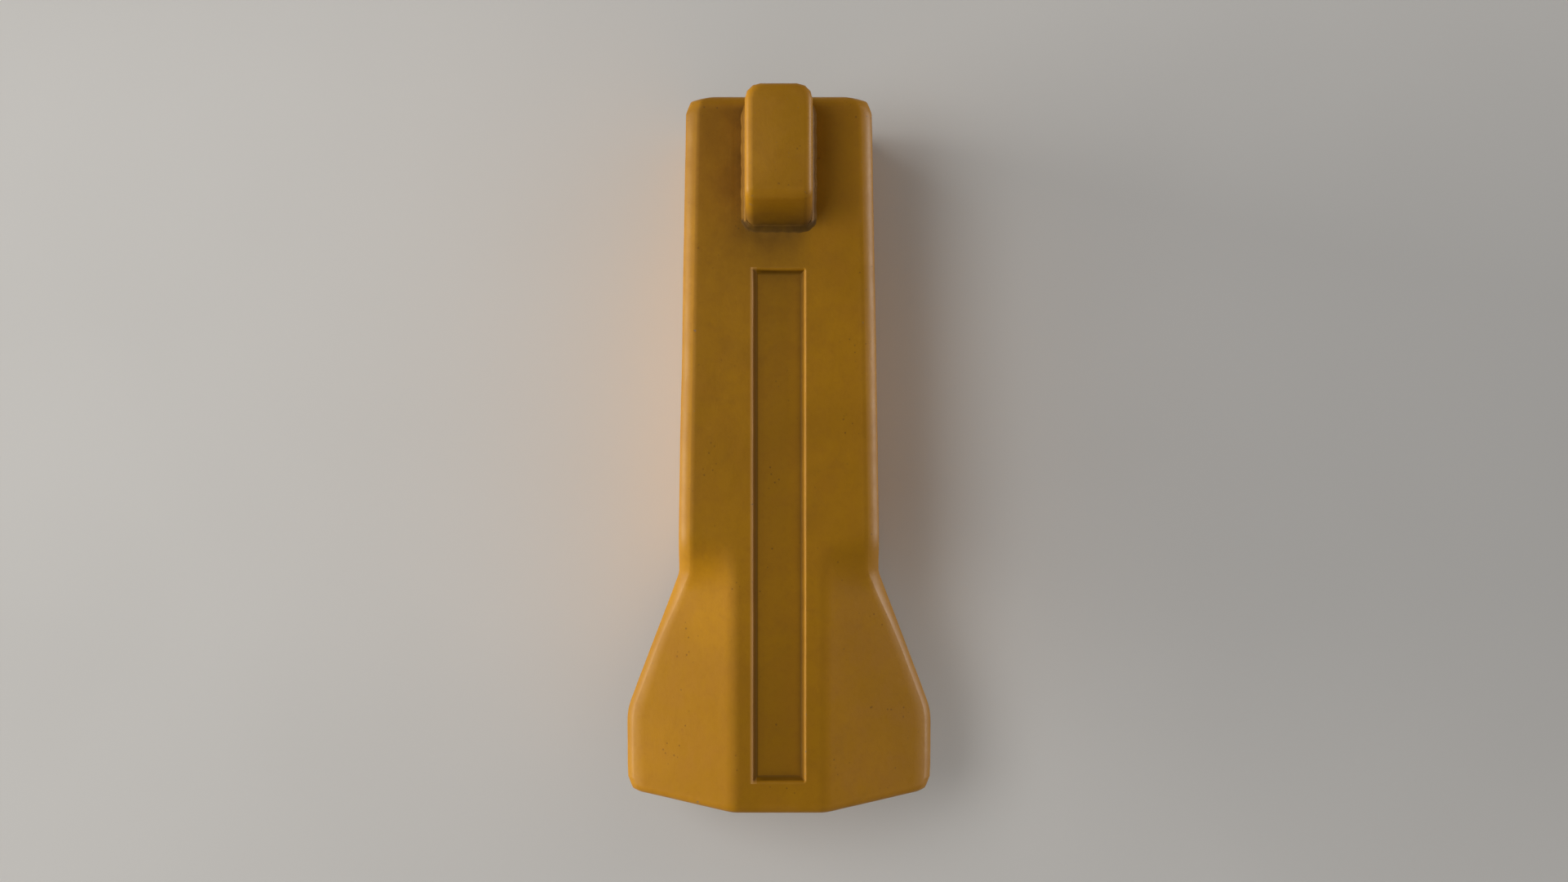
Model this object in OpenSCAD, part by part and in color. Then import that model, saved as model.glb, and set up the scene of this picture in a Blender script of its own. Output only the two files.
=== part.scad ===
// Excavator bucket tooth: a cast flare point on a weld-on nose, held by two half-turn locks.
// Millimetres, +Z up. The tooth lies flat with its cutting edge towards -Y.
// Origin: centre of the nose's weld face, which looks along +Y.

/* [Point] */
// Length of the point from its rear rim to the cutting edge
point_len = 300; // [296:1:306]
// Height of the box section
box_h = 78; // [76:1:80]
// Width of the box at its rear rim
box_w_rear = 77.6; // [77:0.2:79]
// Width of the box where the flare begins
box_w_front = 84.2; // [83.6:0.2:86]
// Greatest width across the flare
flare_w = 131; // [126:0.2:134]
// Distance from the rear rim to the start of the flare
flare_start = 199.9; // [196:0.1:202]
// Distance from the rear rim to the widest part of the flare
flare_full = 260.1; // [256:0.1:263]
// Width of the flat crest between the two wings
crest_w = 37.4; // [35:0.2:40]
// Angle at which each wing falls away from the crest
wing_angle = 25; // [20:0.5:26]
// How far each front corner of the flare sits back, per millimetre of width outside the crest
edge_sweep = 0.118; // [0.09:0.001:0.15]
// Radius of the long edges and of the rear rim
edge_r = 5; // [4:0.5:5.5]
// Radius of the flare's outer edges
flare_edge_r = 2.9; // [2.5:0.1:4]
// Radius of the two rear corners seen from above
rear_corner_r = 6.6; // [6:0.2:7]
// Radius of the cutting edge
tip_r = 3.4; // [2.5:0.1:3.8]
// Distance from the rear rim to the start of the underside ramp
ramp_start = 174; // [170:1:180]
// Height above mid-plane of the underside at the cutting edge
ramp_front_z = 7; // [3:1:8]

/* [Crest recess] */
// Width of the recess at the crest
recess_w = 22.1; // [18:0.1:24]
// Length of the recess
recess_len = 214.1; // [200:0.1:216]
// Distance from the rear rim to the recess
recess_start = 72.5; // [70:0.1:75]
// Depth of the recess
recess_depth = 3; // [2:0.5:4]
// Draft of the recess walls, measured across the floor
recess_draft = 1.6; // [1:0.1:2]

/* [Lifting lug] */
// Width of the lug
lug_w = 27.4; // [25:0.2:29]
// Height of the lug above the crest
lug_h = 24; // [22:0.5:26]
// Length of the lug's flat top
lug_top_len = 45.6; // [43:0.2:48]
// Length of the lug at its foot
lug_foot_len = 55.4; // [55:0.1:60]
// How deep the lug's foot is let into the box
lug_let_in = 3; // [2:0.5:3]
// Diameter of the lifting eye
eye_d = 13; // [11:0.5:13]
// Leg of the fillet weld round the foot
weld_leg = 1.6; // [1.2:0.1:2]

/* [Nose] */
// Width of the nose at its rear
nose_w_rear = 42; // [41:0.5:42.5]
// Height of the nose at its rear
nose_h_rear = 50; // [48:1:51]
// Width of the nose at its front
nose_w_front = 24; // [22:0.5:25]
// Height of the nose at its front
nose_h_front = 28; // [26:0.5:29]
// Length of the nose
nose_len = 165; // [160:1:166]
// Clearance between the nose and the socket on each side
fit_gap = 0.3; // [0.25:0.05:0.4]
// Depth of the weld preparation round the rear face
weld_prep = 6; // [4:0.5:6]
// Diameter of the cross pin whose ends are the retention posts
post_d = 14; // [13:0.5:14]
// Reach of each post from the centre line
post_reach = 27.5; // [26.5:0.1:27.5]
// Distance of the cross pin from the weld face
post_y = 38; // [37:0.5:39]

/* [Lock] */
// Radius of the lock disc
disc_r = 16.6; // [16.4:0.1:16.6]
// Radius of the bore that the lock hub turns in
hub_bore_r = 13; // [12.8:0.1:13]
// Radial running clearance of the lock
run_gap = 0.08; // [0.05:0.01:0.1]
// Across-flats size of the square drive socket, for a 12.7 mm drive
drive_af = 13; // [12.9:0.1:13.1]

/* [Hidden] */
$fn = 72;
rim_y = -1;
top_z = box_h / 2;
pocket_r = 19;
pocket_x = 30.3;
disc_x0 = 20.4;
disc_x1 = 30;
hub_x1 = 38.8;
slot_r = post_d / 2 + 0.4;
slot_x = post_reach + 0.4;
chan_z = post_d / 2 + 0.6;
seal_y0 = -7;
seal_y1 = -13;
mouth_y = -14;
mouth_w = 50;
mouth_h = 58;

paint = [0.62, 0.42, 0.10];
steel = [0.42, 0.42, 0.43];
black = [0.10, 0.10, 0.10];

function clamp01(t) = max(0, min(1, t));
function smooth(t) = let (u = clamp01(t)) u * u * (3 - 2 * u);
// how far a quarter round of radius r has pulled in at distance t from its end
function pull(t, r) = t >= r ? 0 : r - sqrt(max(0, r * r - (r - t) * (r - t)));

// ---- outer form of the point, d is the distance from the rear rim ----
function half_w(d) = lookup(d, [
    [0, box_w_rear / 2],
    [flare_start - 31.5, box_w_front / 2 - 0.35],
    [flare_start, box_w_front / 2],
    [flare_full - 4, flare_w / 2 - 1.55],
    [flare_full, flare_w / 2 - 0.35],
    [flare_full + 4, flare_w / 2],
    [point_len - 12, flare_w / 2 - 0.1],
    [point_len, flare_w / 2 - 0.4]]);
function wing_slope(d) = tan(wing_angle) * smooth((d - flare_start + 13) / 16);
function soft_out(x) = x <= -4 ? 0 : x >= 4 ? x : (x + 4) * (x + 4) / 16;
function top_at(x, d) = top_z - wing_slope(d) * soft_out(abs(x) - crest_w / 2);
function bottom_at(d) = d <= ramp_start ? -top_z
    : -top_z + (d - ramp_start) * (ramp_front_z + top_z) / (point_len - ramp_start);
function sweep(x, d) = edge_sweep * soft_out(abs(x) - crest_w / 2 - 1) * clamp01((d - point_len + 35) / 30);
function end_pull(d) = pull(d, edge_r) + pull(point_len - d, tip_r);
function side_pull(d) = pull(d, rear_corner_r) + pull(point_len - d, 5);

ARC = [0, 22.5, 45, 67.5, 90];
function sect_r(d) = let (w = half_w(d) - side_pull(d))
    min(edge_r + (flare_edge_r - edge_r) * smooth((d - flare_start + 6) / 40), 0.45 * (top_at(w, d) - bottom_at(d) - 2 * end_pull(d)));
// x, and the drop below the top and above the bottom there
function half_x(d) = let (w = half_w(d) - side_pull(d), r = sect_r(d), c = crest_w / 2)
    concat([for (a = ARC) [w - r + r * cos(a), r - r * sin(a)]],
           [[(w - r + c + 4) / 2, 0], [c + 4, 0], [c + 1.5, 0], [c, 0], [c - 1.5, 0], [c - 4, 0]]);
function row_x(d) = let (h = half_x(d), n = len(h))
    concat([for (p = h) [-p[0], p[1]]], [[0, 0]], [for (i = [n - 1:-1:0]) h[i]]);
function ring(d) = let (r = row_x(d), n = len(r))
    concat([for (p = r) [p[0], rim_y - d + sweep(p[0], d), top_at(p[0], d) - end_pull(d) - p[1]]],
           [for (i = [n - 1:-1:0]) let (p = r[i])
               [p[0], rim_y - d + sweep(p[0], d), bottom_at(d) + end_pull(d) + p[1]]]);
STATIONS = concat([for (a = [0, 22.5, 45, 67.5]) edge_r * (1 - cos(a))], [edge_r, rear_corner_r],
    [flare_start - 31.5, ramp_start, flare_start - 13, flare_start - 10, flare_start - 7,
     flare_start - 4, flare_start - 1, flare_start + 3, flare_full - 4, flare_full,
     flare_full + 4, point_len - 35, point_len - 5],
    [for (a = [0, 30, 60, 90]) point_len - tip_r * (1 - sin(a))]);

module outer_form() {
    st = [for (i = [0:len(STATIONS) - 1]) STATIONS[i]];
    rings = [for (d = STATIONS) ring(d)];
    n = len(rings[0]);
    m = n / 2;
    k = len(rings);
    pts = [for (r = rings, p = r) p];
    sides = [for (j = [0:k - 2], i = [0:n - 1]) each
        let (a = j * n + i, b = j * n + (i + 1) % n, c = (j + 1) * n + (i + 1) % n, e = (j + 1) * n + i)
        [[a, b, c], [a, c, e]]];
    rear = [for (i = [0:m - 2]) each
        let (a = i, b = i + 1, c = n - 2 - i, e = n - 1 - i) [[a, c, b], [a, e, c]]];
    front = [for (i = [0:m - 2]) each
        let (o = (k - 1) * n, a = o + i, b = o + i + 1, c = o + n - 2 - i, e = o + n - 1 - i)
        [[a, b, c], [a, c, e]]];
    polyhedron(points = pts, faces = concat(sides, rear, front), convexity = 6);
}

// ---- shared pieces ----
module oct2(w, h, c) polygon([[w / 2 - c, -h / 2], [w / 2, -h / 2 + c], [w / 2, h / 2 - c], [w / 2 - c, h / 2],
    [-w / 2 + c, h / 2], [-w / 2, h / 2 - c], [-w / 2, -h / 2 + c], [-w / 2 + c, -h / 2]]);
function oct3(w, h, c, y) = [for (p = [[w / 2 - c, -h / 2], [w / 2, -h / 2 + c], [w / 2, h / 2 - c], [w / 2 - c, h / 2],
    [-w / 2 + c, h / 2], [-w / 2, h / 2 - c], [-w / 2, -h / 2 + c], [-w / 2 + c, -h / 2]]) [p[0], y, p[1]]];
function nose_w(y) = nose_w_rear + (nose_w_front - nose_w_rear) * (-y / nose_len);
function nose_h(y) = nose_h_rear + (nose_h_front - nose_h_rear) * (-y / nose_len);
// a solid through octagon sections given as [width, height, corner, y], from the rear to the front
module through(secs) {
    k = len(secs);
    pts = [for (s = secs, p = oct3(s[0], s[1], s[2], s[3])) p];
    sides = [for (j = [0:k - 2], i = [0:7]) let (a = j * 8 + i, b = j * 8 + (i + 1) % 8)
        [a, a + 8, b + 8, b]];
    polyhedron(points = pts, faces = concat([[for (i = [0:7]) i]], sides,
        [[for (i = [7:-1:0]) (k - 1) * 8 + i]]), convexity = 4);
}
module along_y(y0, y1) translate([0, y0, 0]) rotate([90, 0, 0]) linear_extrude(y0 - y1) children();
module x_cyl(r, x0, x1, y = -post_y, z = 0)
    translate([x0, y, z]) rotate([0, 90, 0]) cylinder(r = r, h = x1 - x0);
module box(x0, x1, y0, y1, z0, z1) translate([x0, y0, z0]) cube([x1 - x0, y1 - y0, z1 - z0]);

// ---- tooth ----
module recess() {
    f = recess_w / 2 - recess_draft;
    along_y(rim_y - recess_start, rim_y - recess_start - recess_len)
        polygon([[-f, top_z - recess_depth], [f, top_z - recess_depth],
                 [recess_w / 2 + 0.5, top_z + 1], [-recess_w / 2 - 0.5, top_z + 1]]);
}
module lock_cut() {
    x_cyl(pocket_r, 15, pocket_x);
    x_cyl(hub_bore_r, 15, 60);
    box(10, slot_x, -post_y, 5, -chan_z, chan_z);
    // stop groove for the lock's tab, over the upper half turn
    intersection() {
        difference() {
            x_cyl(disc_r + 0.1, 25, pocket_x + 1.7);
            x_cyl(hub_bore_r + 1, 20, 40);
        }
        box(25, 40, -post_y - 30, -post_y + 30, -2.9, 30);
    }
}
module tooth_point() {
    y1 = -nose_len - 2.4;
    color(paint) difference() {
        outer_form();
        through([[nose_w(2) + 2 * fit_gap, nose_h(2) + 2 * fit_gap, 4, 2],
                 [nose_w(y1) + 2 * fit_gap, nose_h(y1) + 2 * fit_gap, 4, y1]]);
        along_y(3, mouth_y) oct2(mouth_w, mouth_h, 6);
        recess();
        lock_cut();
        mirror([1, 0, 0]) lock_cut();
        box(-lug_w / 2, lug_w / 2, rim_y - lug_foot_len, 5, top_z - lug_let_in, top_z + 5);
    }
}
module lug_profile() {
    z0 = top_z - lug_let_in;
    z1 = top_z + lug_h;
    y0 = rim_y;
    polygon([[y0, z0], [y0, z1 - 4], [y0 - 1.2, z1 - 1.2], [y0 - 4, z1], [y0 - lug_top_len + 3, z1],
             [y0 - lug_top_len - 0.6, z1 - 1.8], [y0 - lug_foot_len, top_z], [y0 - lug_foot_len, z0]]);
}
// a two-facet rounding of one long top edge and one rear corner
module lug_plan_cut(s) {
    for (c = [[25, 2.4], [65, 2.4]])
        translate([s * (lug_w / 2 - 3.5), rim_y, top_z + lug_h - 3.5]) rotate([0, s * (90 - c[0]), 0])
            translate([-30, -120, 3.5]) cube([60, 130, 10]);
    for (c = [25, 65])
        translate([s * (lug_w / 2 - 6.3), rim_y - 6.3, top_z + 1.7]) rotate([0, 0, s > 0 ? c : 180 - c])
            translate([6.3, -30, 0]) cube([20, 60, lug_h + 5]);
}
module lifting_lug() {
    color(paint) difference() {
        translate([-lug_w / 2, 0, 0]) rotate([90, 0, 90]) linear_extrude(lug_w) lug_profile();
        lug_plan_cut(1);
        lug_plan_cut(-1);
        x_cyl(eye_d / 2, -lug_w, lug_w, y = rim_y - 24, z = top_z + 12.5);
    }
}
module lug_weld() {
    color(paint) {
        yf = rim_y - lug_foot_len;
        difference() {
            union() {
                for (s = [-1, 1]) along_y(rim_y - 6, yf - weld_leg)
                    polygon([[s * (lug_w / 2 - 1), top_z], [s * (lug_w / 2 + weld_leg), top_z],
                             [s * lug_w / 2, top_z + weld_leg], [s * (lug_w / 2 - 1), top_z + weld_leg]]);
                translate([-lug_w / 2 - weld_leg, 0, 0]) rotate([90, 0, 90]) linear_extrude(lug_w + 2 * weld_leg)
                    polygon([[yf - weld_leg, top_z], [yf, top_z + weld_leg], [yf + 2, top_z + weld_leg], [yf + 2, top_z]]);
            }
            // the lug's own foot
            translate([-lug_w / 2, 0, 0]) rotate([90, 0, 90]) linear_extrude(lug_w) lug_profile();
            // mitres at the two front corners
            for (s = [-1, 1]) translate([s * (lug_w / 2 + weld_leg), yf - weld_leg, top_z - 1])
                rotate([0, 0, 45]) translate([-0.7, -0.7, 0]) cube([1.4, 1.4, 5]);
        }
    }
}

// ---- nose ----
module nose_blank() {
    through([[nose_w_rear - 2 * weld_prep, nose_h_rear - 2 * weld_prep, 3, 0],
             [nose_w(-weld_prep), nose_h(-weld_prep), 4, -weld_prep],
             [nose_w(-nose_len + 3), nose_h(-nose_len + 3), 4, -nose_len + 3],
             [nose_w_front - 5, nose_h_front - 5, 3, -nose_len]]);
}
module adapter_nose() {
    color(steel) difference() {
        nose_blank();
        x_cyl(post_d / 2, -40, 40);
        translate([0, -post_y, -30]) cylinder(r = 2.5, h = 60);
        translate([0, -nose_len + 4, 0]) rotate([90, 0, 0]) cylinder(r = 8, h = 10);
    }
}
module cross_pin() {
    color(steel) difference() {
        translate([0, -post_y, 0]) rotate([0, 90, 0]) rotate_extrude()
            polygon([[0, -post_reach], [post_d / 2 - 1, -post_reach], [post_d / 2, -post_reach + 1],
                     [post_d / 2, post_reach - 1], [post_d / 2 - 1, post_reach], [0, post_reach]]);
        translate([0, -post_y, -30]) cylinder(r = 2.5, h = 60);
    }
}
module pin_roll_pin() {
    color(steel) difference() {
        translate([0, -post_y, -18]) cylinder(r = 2.45, h = 36);
        translate([0, -post_y, -20]) cylinder(r = 1.5, h = 40);
        translate([-0.4, -post_y, -20]) cube([0.8, 5, 40]);
    }
}
module nose_bumper() {
    color([0.75, 0.30, 0.08]) translate([0, -nose_len + 3.95, 0]) rotate([90, 0, 0]) rotate_extrude()
        polygon([[0, 0], [7.9, 0], [7.9, 4.2], [7.2, 5.2], [6, 5.9], [0, 5.9]]);
}
module mouth_seal() {
    color(black) difference() {
        union() {
            along_y(seal_y0, seal_y1) oct2(mouth_w - 0.6, mouth_h - 0.6, 5.8);
            for (s = [-1, 1]) box(min(s * 20, s * (slot_x - 0.4)), max(s * 20, s * (slot_x - 0.4)),
                seal_y1, seal_y0, -chan_z + 0.4, chan_z - 0.4);
        }
        nose_blank();
    }
}

// ---- locks, drawn on the right and mirrored ----
module sleeve_right() {
    difference() {
        x_cyl(pocket_r - 0.05, disc_x0 + 0.1, pocket_x - 0.1);
        x_cyl(disc_r + run_gap, 10, 40);
        box(10, 40, -post_y, 0, -chan_z - 0.2, chan_z + 0.2);
    }
}
module lock_body_right() {
    difference() {
        union() {
            x_cyl(disc_r, disc_x0, disc_x1);
            x_cyl(hub_bore_r - run_gap, disc_x0 + 1, hub_x1);
            // stop tab
            box(disc_x1 - 1, disc_x1 + 1.6, -post_y + hub_bore_r + 1.2, -post_y + disc_r - 0.2, -2.5, 2.5);
        }
        // the U slot that takes the post
        x_cyl(slot_r, 10, slot_x);
        box(10, slot_x, -post_y, 0, -slot_r, slot_r);
        // square drive socket and the plug's seat
        box(slot_x + 1.5, 60, -post_y - drive_af / 2, -post_y + drive_af / 2, -drive_af / 2, drive_af / 2);
        x_cyl(9.9, hub_x1 - 1.6, 60);
        // seal groove
        difference() {
            x_cyl(20, 33.5, 35.5);
            x_cyl(11.3, 30, 40);
        }
        // pointer notch over the slot's open side
        box(hub_x1 - 1.2, 60, -post_y + 10.6, 0, -1, 1);
    }
}
module o_ring_right() {
    translate([34.5, -post_y, 0]) rotate([0, 90, 0]) rotate_extrude() translate([12.15, 0]) circle(r = 0.8, $fn = 24);
}
module plug_right() {
    a = drive_af / 2 - 0.2;
    difference() {
        union() {
            box(slot_x + 1.9, hub_x1 - 1, -post_y - a, -post_y + a, -a, a);
            x_cyl(9.7, hub_x1 - 1.5, hub_x1 + 0.1);
        }
        box(hub_x1 - 0.7, 60, -post_y - 5, -post_y + 5, -1, 1);
    }
}
module lock_sleeve_right() color([0.16, 0.17, 0.19]) sleeve_right();
module lock_sleeve_left() color([0.16, 0.17, 0.19]) mirror([1, 0, 0]) sleeve_right();
module lock_right() color([0.25, 0.25, 0.26]) lock_body_right();
module lock_left() color([0.25, 0.25, 0.26]) mirror([1, 0, 0]) lock_body_right();
module lock_o_ring_right() color(black) o_ring_right();
module lock_o_ring_left() color(black) mirror([1, 0, 0]) o_ring_right();
module drive_plug_right() color([0.75, 0.30, 0.08]) plug_right();
module drive_plug_left() color([0.75, 0.30, 0.08]) mirror([1, 0, 0]) plug_right();

tooth_point();
lifting_lug();
lug_weld();
adapter_nose();
cross_pin();
pin_roll_pin();
nose_bumper();
mouth_seal();
lock_sleeve_left();
lock_sleeve_right();
lock_left();
lock_right();
lock_o_ring_left();
lock_o_ring_right();
drive_plug_left();
drive_plug_right();
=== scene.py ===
import math

import bmesh
import bpy
import numpy as np
from mathutils import Matrix, Vector
from mathutils import noise as mnoise


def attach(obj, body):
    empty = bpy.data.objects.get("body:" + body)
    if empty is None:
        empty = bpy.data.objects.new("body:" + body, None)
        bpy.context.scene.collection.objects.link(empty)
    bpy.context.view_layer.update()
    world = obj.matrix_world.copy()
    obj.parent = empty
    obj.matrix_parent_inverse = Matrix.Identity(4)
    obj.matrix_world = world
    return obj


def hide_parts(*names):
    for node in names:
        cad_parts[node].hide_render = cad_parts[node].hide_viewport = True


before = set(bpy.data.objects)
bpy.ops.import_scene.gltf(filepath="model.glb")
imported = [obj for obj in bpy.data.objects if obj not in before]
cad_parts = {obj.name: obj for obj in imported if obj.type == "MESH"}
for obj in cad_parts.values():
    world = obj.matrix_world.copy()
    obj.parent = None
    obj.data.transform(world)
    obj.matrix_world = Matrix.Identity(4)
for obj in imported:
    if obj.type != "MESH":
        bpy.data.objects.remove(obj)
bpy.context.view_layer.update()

MM = 0.001

# ------------------------------------------------------------------ sizes, mm
POINT_LEN, TOP, CREST = 300.0, 39.0, 37.4
RIM = -1.0
WING = math.tan(math.radians(25))
SWEEP = 0.118
EDGE_R, FLARE_R, TIP_R = 5.0, 2.9, 3.4
REAR_R = 6.6  # plan radius of the two rear corners
FLARE0, FLARE1, FLARE_W = 199.9, 260.1, 131.0
RAMP0, RAMP_Z = 174.0, 7.0
REC_W, REC_LEN, REC0, REC_D, REC_DRAFT = 22.1, 214.1, 72.5, 3.0, 1.6
LUG_W, LUG_H, LUG_TOP, LUG_FOOT = 27.4, 24.0, 45.6, 55.4
POST_Y, POST_REACH = -38.0, 27.5
NOSE_LEN = 165.0


def smoothstep(t):
    t = np.clip(t, 0, 1)
    return t * t * (3 - 2 * t)


def pull(t, r):
    t = np.clip(t, 0, r)
    return r - np.sqrt(np.maximum(0, r * r - (r - t) ** 2))


HALF_W = np.array([
    [0, 38.8], [168.4, 41.78], [196, 42.1], [199.2, 42.25], [201.0, 42.7], [204, 43.9],
    [255.6, 63.7], [258.0, 64.5], [260.4, 65.05], [263.0, 65.4], [266.4, 65.5], [288, 65.35], [300, 64.9]])


def half_w(d):
    return np.interp(d, HALF_W[:, 0], HALF_W[:, 1])


def soft_out(x, s=4.0):
    """0 below -s, x above s, with a parabola between."""
    return np.where(x <= -s, 0, np.where(x >= s, x, (x + s) ** 2 / (4 * s)))


def wing_slope(d):
    return WING * smoothstep((d - FLARE0 + 17) / 26)


def top_at(x, d):
    return TOP - wing_slope(d) * soft_out(np.abs(x) - CREST / 2 - 0.7, 2.9)


def recess_depth(x, d):
    """Drafted walls with a small round at the rim and at the floor."""
    gap_x = REC_W / 2 - np.abs(x)
    gap_d = np.minimum(d - REC0, REC0 + REC_LEN - d)
    # a rounded inner corner in plan
    g = np.minimum(gap_x, gap_d)
    near = (gap_x < 0.9) & (gap_d < 0.9)
    g = np.where(near, 0.9 - np.hypot(0.9 - gap_x, 0.9 - gap_d), g)
    t = np.clip(g / REC_DRAFT, -0.35, 1.35)
    s = np.where(t < 0.3, np.clip((t + 0.3), 0, 0.6) ** 2 / 1.2,
                 np.where(t > 0.7, 1 - np.clip(1.3 - t, 0, 0.6) ** 2 / 1.2, t))
    return REC_D * np.clip(s, 0, 1)


def bottom_at(d):
    k = (RAMP_Z + TOP) / (POINT_LEN - RAMP0)
    return -TOP + k * soft_out(d - RAMP0, 5.0)


def edge_sweep(x, d):
    return SWEEP * soft_out(np.abs(x) - CREST / 2 - 0.4, 2.0) * np.clip((d - POINT_LEN + 35) / 30, 0, 1)


# ------------------------------------------------------------------ mesh helpers
def new_object(name, verts, faces, smooth=True):
    me = bpy.data.meshes.new(name)
    me.from_pydata([tuple(v) for v in verts], [], faces)
    me.validate()
    me.update()
    ob = bpy.data.objects.new(name, me)
    bpy.context.scene.collection.objects.link(ob)
    if smooth:
        me.shade_smooth()
    return ob


def recalc(ob):
    bm = bmesh.new()
    bm.from_mesh(ob.data)
    bmesh.ops.recalc_face_normals(bm, faces=bm.faces)
    bm.to_mesh(ob.data)
    bm.free()
    return ob


def bake_mods(ob):
    bpy.context.view_layer.update()
    dg = bpy.context.evaluated_depsgraph_get()
    me = bpy.data.meshes.new_from_object(ob.evaluated_get(dg), depsgraph=dg)
    old = ob.data
    ob.modifiers.clear()
    ob.data = me
    if old.users == 0:
        bpy.data.meshes.remove(old)
    return ob


def boolean(ob, cutters, op="DIFFERENCE", solver="MANIFOLD"):
    for c in cutters:
        m = ob.modifiers.new("b", "BOOLEAN")
        m.operation = op
        m.object = c
        m.solver = solver
        before = len(ob.data.polygons)
        bake_mods(ob)
        if len(ob.data.polygons) == 0:
            raise RuntimeError("boolean emptied " + ob.name + " with " + c.name + f" from {before}")
    for c in cutters:
        me = c.data
        bpy.data.objects.remove(c)
        if me.users == 0:
            bpy.data.meshes.remove(me)
    return ob


def bevel(ob, width, segments=3, angle=30):
    m = ob.modifiers.new("bev", "BEVEL")
    m.width = width * MM
    m.segments = segments
    m.limit_method = "ANGLE"
    m.angle_limit = math.radians(angle)
    m.use_clamp_overlap = True
    return bake_mods(ob)


def finish_shading(ob, angle=38):
    me = ob.data
    me.shade_smooth()
    me.set_sharp_from_angle(angle=math.radians(angle))
    return ob


def box_mesh(name, x0, x1, y0, y1, z0, z1):
    v = [(x, y, z) for x in (x0, x1) for y in (y0, y1) for z in (z0, z1)]
    v = [tuple(c * MM for c in p) for p in v]
    f = [(0, 1, 3, 2), (4, 6, 7, 5), (0, 4, 5, 1), (2, 3, 7, 6), (0, 2, 6, 4), (1, 5, 7, 3)]
    return recalc(new_object(name, v, f, smooth=False))


def lathe(name, profile, centre, axis="x", segs=96):
    """profile: closed list of (along, radius) in mm. A point with radius 0 lies on the axis."""
    cx, cy, cz = centre
    rings = []
    verts = []
    for (t, r) in profile:
        if r <= 1e-6:
            verts.append(((t, 0, 0)))
            rings.append([len(verts) - 1])
        else:
            ids = []
            for k in range(segs):
                a = 2 * math.pi * k / segs
                verts.append((t, r * math.cos(a), r * math.sin(a)))
                ids.append(len(verts) - 1)
            rings.append(ids)
    faces = []
    n = len(rings)
    for i in range(n):
        a, b = rings[i], rings[(i + 1) % n]
        if len(a) == 1 and len(b) == 1:
            continue
        for k in range(segs):
            k2 = (k + 1) % segs
            if len(a) == 1:
                faces.append((a[0], b[k], b[k2]))
            elif len(b) == 1:
                faces.append((a[k], b[0], a[k2]))
            else:
                faces.append((a[k], b[k], b[k2], a[k2]))
    out = []
    for (t, y, z) in verts:
        if axis == "x":
            p = (t, y, z)
        elif axis == "y":
            p = (y, t, z)
        else:
            p = (y, z, t)
        out.append(((p[0] + cx) * MM, (p[1] + cy) * MM, (p[2] + cz) * MM))
    ob = new_object(name, out, faces)
    return recalc(ob)


def round_profile(points, default=0.0, steps=4):
    """points: (t, r, fillet) of a closed or open lathe profile; corners get a fillet of that radius."""
    n = len(points)
    out = []
    for i, p in enumerate(points):
        t, r = p[0], p[1]
        f = p[2] if len(p) > 2 else default
        if f <= 0 or r <= 1e-6:
            out.append((t, r))
            continue
        a = np.array(points[i - 1][:2], float)
        b = np.array((t, r), float)
        c = np.array(points[(i + 1) % n][:2], float)
        u, v = (a - b), (c - b)
        lu, lv = np.linalg.norm(u), np.linalg.norm(v)
        u, v = u / lu, v / lv
        cosang = float(np.clip(u @ v, -1, 1))
        ang = math.acos(cosang)
        if ang > math.radians(175):
            out.append((t, r))
            continue
        dist = min(f / math.tan(ang / 2), 0.49 * lu, 0.49 * lv)
        rad = dist * math.tan(ang / 2)
        p0, p1 = b + u * dist, b + v * dist
        bis = (u + v)
        bis = bis / np.linalg.norm(bis)
        centre = b + bis * (rad / math.sin(ang / 2))
        a0 = math.atan2(*(p0 - centre)[::-1])
        a1 = math.atan2(*(p1 - centre)[::-1])
        da = (a1 - a0 + math.pi) % (2 * math.pi) - math.pi
        for k in range(steps + 1):
            aa = a0 + da * k / steps
            out.append((centre[0] + rad * math.cos(aa), max(0.0, centre[1] + rad * math.sin(aa))))
    return out


def round_rect(w, h, r, n=6):
    """Points of a rounded rectangle, counter-clockwise in (x, z)."""
    r = min(r, w / 2 - 0.01, h / 2 - 0.01)
    pts = []
    for cx, cz, a0 in ((w / 2 - r, h / 2 - r, 0), (-w / 2 + r, h / 2 - r, 90),
                       (-w / 2 + r, -h / 2 + r, 180), (w / 2 - r, -h / 2 + r, 270)):
        for k in range(n + 1):
            a = math.radians(a0 + 90 * k / n)
            pts.append((cx + r * math.cos(a), cz + r * math.sin(a)))
    return pts


def loft_y(name, secs, n=6, caps=True):
    """A solid through rounded-rectangle sections (w, h, r, y)."""
    rings = [[(x * MM, y * MM, z * MM) for x, z in round_rect(w, h, r, n)] for (w, h, r, y) in secs]
    m = len(rings[0])
    verts = [p for ring in rings for p in ring]
    faces = []
    for j in range(len(rings) - 1):
        for i in range(m):
            a, b = j * m + i, j * m + (i + 1) % m
            faces.append((a, b, b + m, a + m))
    if caps:
        faces.append(tuple(range(m))[::-1])
        faces.append(tuple((len(rings) - 1) * m + i for i in range(m)))
    return recalc(new_object(name, verts, faces))


def nose_w(y):
    return 42.0 + (24.0 - 42.0) * (-y / NOSE_LEN)


def nose_h(y):
    return 50.0 + (28.0 - 50.0) * (-y / NOSE_LEN)


# ------------------------------------------------------------------ the point casting
def spread(a, b, step):
    n = max(1, int(round((b - a) / step)))
    return list(np.linspace(a, b, n + 1)[:-1])


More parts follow.
